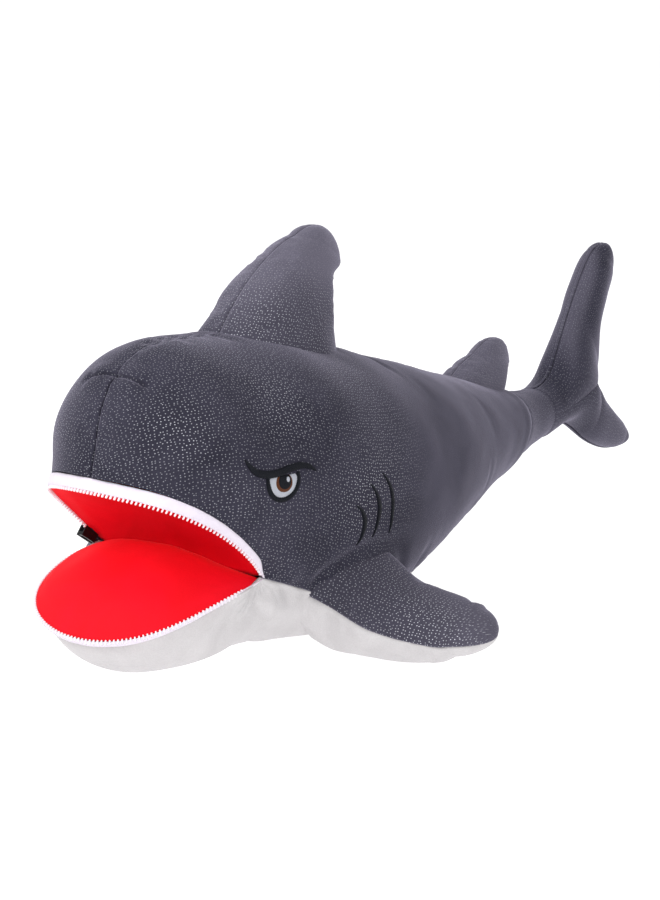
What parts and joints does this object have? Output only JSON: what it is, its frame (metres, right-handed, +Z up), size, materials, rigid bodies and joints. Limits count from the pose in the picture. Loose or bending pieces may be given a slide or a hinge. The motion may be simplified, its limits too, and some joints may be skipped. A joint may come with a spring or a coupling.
{
  "type": "plush shark with a zip mouth",
  "caption": "Stuffed shark with an open mouth whose lips zip together, dorsal fins, flapping side fins and a swaying tail.",
  "frame": {"origin": "middle of the base of the bounding box, on the ground under the shark", "axes": "+X to the shark's left, +Y from snout to tail, +Z up; the mouth faces -Y"},
  "size_m": [0.3998, 0.7524, 0.2924],
  "materials": {
    "grey_velour": "dark grey short pile velour with scattered silver foil dots",
    "white_plush": "white short pile plush",
    "red_velour": "bright red smooth velour",
    "filling": "loose polyester fibre filling",
    "zip_tape": "woven white tape",
    "zip_teeth": "moulded white teeth",
    "black_metal": "black enamel",
    "black_thread": "satin stitch embroidery, near black navy",
    "white_thread": "satin stitch embroidery, cool white",
    "brown_thread": "satin stitch embroidery, brown"
  },
  "bodies": {
    "trunk": {"side_panel_left": "grey_velour", "side_panel_right": "grey_velour", "belly_panel": "white_plush", "trunk_stuffing": "filling", "head_stuffing": "filling", "palate_lining": "red_velour", "zip_tape_upper": "zip_tape", "zip_teeth_upper": "zip_teeth", "dorsal_panel_left": "grey_velour", "dorsal_panel_right": "grey_velour", "dorsal_stuffing": "filling", "second_dorsal_panel_left": "grey_velour", "second_dorsal_panel_right": "grey_velour", "second_dorsal_stuffing": "filling", "eye_white_left": "white_thread", "eye_white_right": "white_thread", "eye_iris_left": "brown_thread", "eye_iris_right": "brown_thread", "eye_pupil_left": "black_thread", "eye_pupil_right": "black_thread", "eye_glint_left": "white_thread", "eye_glint_right": "white_thread", "eye_rim_left": "black_thread", "eye_rim_right": "black_thread", "brow_left": "black_thread", "brow_right": "black_thread", "gill_1_left": "black_thread", "gill_1_right": "black_thread", "gill_2_left": "black_thread", "gill_2_right": "black_thread", "gill_3_left": "black_thread", "gill_3_right": "black_thread"},
    "jaw": {"jaw_panel": "white_plush", "jaw_stuffing": "filling", "tongue_lining": "red_velour", "zip_tape_lower": "zip_tape", "zip_teeth_lower": "zip_teeth"},
    "slider": {"zip_slider": "black_metal"},
    "pull": {"zip_pull": "black_metal"},
    "tail": {"tail_panel_left": "grey_velour", "tail_panel_right": "grey_velour", "tail_stuffing": "filling"},
    "fin_left": {"side_fin_top_left": "grey_velour", "side_fin_base_left": "white_plush", "side_fin_stuffing_left": "filling"},
    "fin_right": {"side_fin_top_right": "grey_velour", "side_fin_base_right": "white_plush", "side_fin_stuffing_right": "filling"}
  },
  "joints": [
    {"name": "jaw_close", "type": "hinge", "parent": "trunk", "child": "jaw", "pos_m": [0, -0.26013, 0.07], "axis": [-1, 0, 0], "range_deg": [0, 52.5]},
    {"name": "slider_run", "type": "hinge", "parent": "trunk", "child": "slider", "pos_m": [0, -0.28525, 0.09071], "axis": [0, 0.6361, 0.7716], "range_deg": [0, 210]},
    {"name": "pull_swing", "type": "hinge", "parent": "slider", "child": "pull", "pos_m": [-0.08769, -0.26812, 0.07659], "axis": [0, 0.6361, 0.7716], "range_deg": [-15, 130]},
    {"name": "tail_sway", "type": "hinge", "parent": "trunk", "child": "tail", "pos_m": [0, 0.19487, 0.1], "axis": [0, 0, 1], "range_deg": [-15, 15], "stiffness_Nm_per_rad": 0.35},
    {"name": "fin_flap_left", "type": "hinge", "parent": "trunk", "child": "fin_left", "pos_m": [0.104, -0.16213, 0.086], "axis": [0, -1, 0], "range_deg": [0, 20], "stiffness_Nm_per_rad": 0.3},
    {"name": "fin_flap_right", "type": "hinge", "parent": "trunk", "child": "fin_right", "pos_m": [-0.104, -0.16213, 0.086], "axis": [0, 1, 0], "range_deg": [0, 20], "stiffness_Nm_per_rad": 0.3}
  ],
  "couplings": [
    {"joint": "slider_run", "follows": "jaw_close", "ratio": 4}
  ]
}
